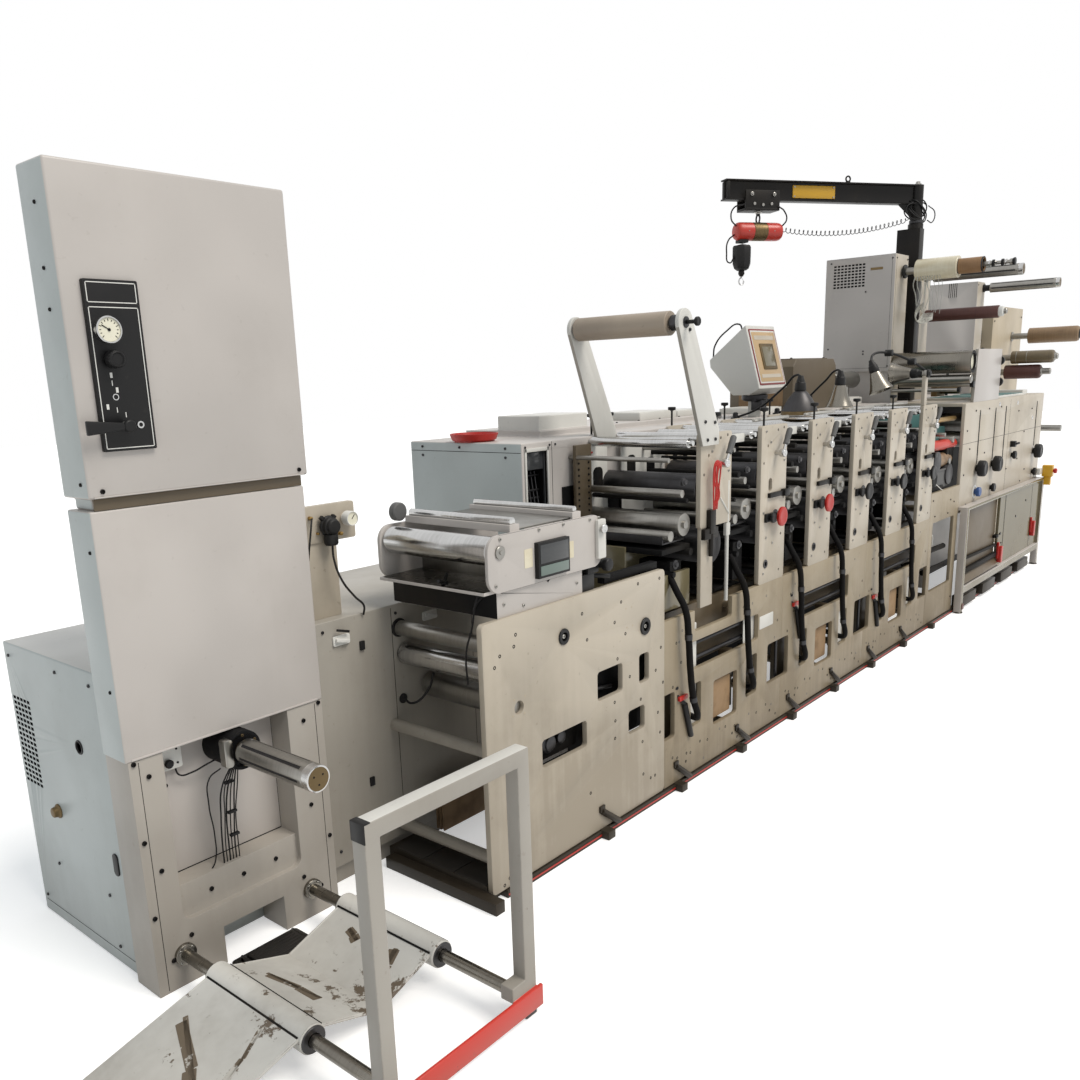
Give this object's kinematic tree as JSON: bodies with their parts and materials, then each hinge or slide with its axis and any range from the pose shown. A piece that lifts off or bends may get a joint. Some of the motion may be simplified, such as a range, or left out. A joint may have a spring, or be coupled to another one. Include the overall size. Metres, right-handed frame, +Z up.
{
  "type": "flexographic label press",
  "caption": "Narrow web flexographic label press with unwind tower, roll loader, print stations, finishing section, rewind shafts and jib hoist.",
  "frame": {"origin": "middle of the footprint's box, on the floor", "axes": "+X along the press from unwind to rewind, +Y from the operator side to the gear side, +Z up"},
  "size_m": [8.891, 1.7492, 2.797],
  "materials": {
    "cream_paint": "satin enamel, worn",
    "light_grey_paint": "satin enamel",
    "grey_paint": "satin enamel",
    "white_paint": "chipped enamel",
    "beige_paint": "satin enamel",
    "black_paint": "semi gloss",
    "red_paint": "gloss, worn",
    "black_plastic": "moulded",
    "grey_grip": "moulded grip",
    "steel": "turned",
    "chrome": "polished",
    "aluminium": "spun",
    "dark_steel": "oily",
    "rubber": "hose",
    "core_board": "wound paper board"
  },
  "bodies": {
    "frame": {"unwind_frame": "cream_paint", "unwind_lower_cover": "light_grey_paint", "unwind_upper_cover": "light_grey_paint", "control_panel": "black_paint", "side_cabinet": "grey_paint", "guide_rods": "dark_steel", "handle_frame": "white_paint", "gear_side_panel": "grey_paint", "air_regulators": "beige_paint", "gear_housing": "light_grey_paint", "infeed_plate": "cream_paint", "floor_rail": "black_paint", "web_guide": "white_paint", "idler_arms": "cream_paint", "base_frame_1": "cream_paint", "base_frame_2": "cream_paint", "base_frame_3": "cream_paint", "station_plates": "cream_paint", "print_rollers": "dark_steel", "top_idlers": "aluminium", "die_frame": "cream_paint", "finishing_panel": "cream_paint", "panel_stand": "white_paint", "roller_bracket": "white_paint", "rewind_cabinets": "light_grey_paint", "rewind_tower": "beige_paint", "jib_mast": "black_paint", "lamps": "aluminium", "control_box": "white_paint", "drive_box": "beige_paint", "ink_hoses": "rubber", "thumb_screws": "black_plastic", "floor_pedal": "black_plastic"},
    "panel_lever": {"panel_lever": "black_plastic"},
    "unwind_shaft": {"unwind_shaft": "steel"},
    "roll_cradle": {"roll_cradle": "white_paint"},
    "infeed_roller_1": {"infeed_roller_1": "steel"},
    "infeed_roller_2": {"infeed_roller_2": "chrome"},
    "guide_roller": {"guide_roller": "chrome"},
    "arm_roller": {"arm_roller": "aluminium"},
    "pressure_lever_1": {"pressure_lever_1": "grey_grip"},
    "pressure_lever_2": {"pressure_lever_2": "grey_grip"},
    "pressure_lever_3": {"pressure_lever_3": "grey_grip"},
    "pressure_lever_4": {"pressure_lever_4": "grey_grip"},
    "pressure_lever_5": {"pressure_lever_5": "grey_grip"},
    "pressure_lever_6": {"pressure_lever_6": "grey_grip"},
    "chill_roller": {"chill_roller": "steel"},
    "rewind_shaft_1": {"rewind_shaft_1": "steel"},
    "rewind_shaft_2": {"rewind_shaft_2": "chrome"},
    "rewind_shaft_3": {"rewind_shaft_3": "steel"},
    "waste_roller": {"waste_roller": "core_board"},
    "lower_roller": {"lower_roller": "steel"},
    "tower_shaft_1": {"tower_shaft_1": "core_board"},
    "tower_shaft_2": {"tower_shaft_2": "core_board"},
    "tower_shaft_3": {"tower_shaft_3": "core_board"},
    "jib_beam": {"jib_beam": "black_paint", "hoist_cord": "black_plastic"},
    "hoist": {"hoist": "red_paint"}
  },
  "joints": [
    {"name": "panel_lever_turn", "type": "hinge", "parent": "frame", "child": "panel_lever", "pos_m": [-4.0135, -0.05256, 1.522], "axis": [0, 1, 0], "range_deg": [0, 90]},
    {"name": "unwind_shaft_spin", "type": "hinge", "parent": "frame", "child": "unwind_shaft", "pos_m": [-3.7975, -0.12256, 0.625], "axis": [0, 1, 0], "continuous": true},
    {"name": "cradle_slide", "type": "slide", "parent": "frame", "child": "roll_cradle", "axis": [0, 1, 0], "range_m": [-0.225, 0.139]},
    {"name": "infeed_roller_1_spin", "type": "hinge", "parent": "frame", "child": "infeed_roller_1", "pos_m": [-3.1075, -0.23056, 0.808], "axis": [0, 1, 0], "continuous": true},
    {"name": "infeed_roller_2_spin", "type": "hinge", "parent": "frame", "child": "infeed_roller_2", "pos_m": [-3.0895, -0.23056, 0.716], "axis": [0, 1, 0], "continuous": true},
    {"name": "guide_roller_spin", "type": "hinge", "parent": "frame", "child": "guide_roller", "pos_m": [-3.1225, -0.23056, 1.108], "axis": [0, 1, 0], "continuous": true},
    {"name": "arm_roller_spin", "type": "hinge", "parent": "frame", "child": "arm_roller", "pos_m": [-2.1125, -0.23056, 1.775], "axis": [0, 1, 0], "continuous": true},
    {"name": "pressure_lever_1_turn", "type": "hinge", "parent": "frame", "child": "pressure_lever_1", "pos_m": [-1.8405, -0.43056, 1.257], "axis": [0, 1, 0], "range_deg": [-64, 0]},
    {"name": "pressure_lever_2_turn", "type": "hinge", "parent": "frame", "child": "pressure_lever_2", "pos_m": [-1.3455, -0.43056, 1.257], "axis": [0, 1, 0], "range_deg": [-64, 0]},
    {"name": "pressure_lever_3_turn", "type": "hinge", "parent": "frame", "child": "pressure_lever_3", "pos_m": [-0.8505, -0.43056, 1.257], "axis": [0, 1, 0], "range_deg": [-64, 0]},
    {"name": "pressure_lever_4_turn", "type": "hinge", "parent": "frame", "child": "pressure_lever_4", "pos_m": [-0.3555, -0.43056, 1.257], "axis": [0, 1, 0], "range_deg": [-64, 0]},
    {"name": "pressure_lever_5_turn", "type": "hinge", "parent": "frame", "child": "pressure_lever_5", "pos_m": [0.1395, -0.43056, 1.257], "axis": [0, 1, 0], "range_deg": [-64, 0]},
    {"name": "pressure_lever_6_turn", "type": "hinge", "parent": "frame", "child": "pressure_lever_6", "pos_m": [0.6345, -0.43056, 1.257], "axis": [0, 1, 0], "range_deg": [-64, 0]},
    {"name": "chill_roller_spin", "type": "hinge", "parent": "frame", "child": "chill_roller", "pos_m": [1.3505, -0.23056, 1.61], "axis": [0, 1, 0], "continuous": true},
    {"name": "rewind_shaft_1_spin", "type": "hinge", "parent": "frame", "child": "rewind_shaft_1", "pos_m": [1.4025, 0.04944, 2.19], "axis": [0, 1, 0], "continuous": true},
    {"name": "rewind_shaft_2_spin", "type": "hinge", "parent": "frame", "child": "rewind_shaft_2", "pos_m": [1.8605, 0.04944, 2.18], "axis": [0, 1, 0], "continuous": true},
    {"name": "rewind_shaft_3_spin", "type": "hinge", "parent": "frame", "child": "rewind_shaft_3", "pos_m": [3.2065, 0.04944, 2.17], "axis": [0, 1, 0], "continuous": true},
    {"name": "waste_roller_spin", "type": "hinge", "parent": "frame", "child": "waste_roller", "pos_m": [1.8605, 0.04944, 1.925], "axis": [0, 1, 0], "continuous": true},
    {"name": "lower_roller_spin", "type": "hinge", "parent": "frame", "child": "lower_roller", "pos_m": [1.3505, -0.23056, 1.505], "axis": [0, 1, 0], "continuous": true},
    {"name": "tower_shaft_1_spin", "type": "hinge", "parent": "frame", "child": "tower_shaft_1", "pos_m": [4.1455, 0.04944, 1.812], "axis": [0, 1, 0], "continuous": true},
    {"name": "tower_shaft_2_spin", "type": "hinge", "parent": "frame", "child": "tower_shaft_2", "pos_m": [3.8455, 0.04944, 1.634], "axis": [0, 1, 0], "continuous": true},
    {"name": "tower_shaft_3_spin", "type": "hinge", "parent": "frame", "child": "tower_shaft_3", "pos_m": [3.8455, 0.04944, 1.515], "axis": [0, 1, 0], "continuous": true},
    {"name": "jib_swing", "type": "hinge", "parent": "frame", "child": "jib_beam", "pos_m": [1.6905, 0.08444, 2.5], "axis": [0, 0, 1], "range_deg": [-60, 130]},
    {"name": "trolley_travel", "type": "slide", "parent": "jib_beam", "child": "hoist", "axis": [-0.848, 0.5299, 0], "range_m": [-0.44, 0.11], "deforming": ["hoist_cord"]}
  ]
}
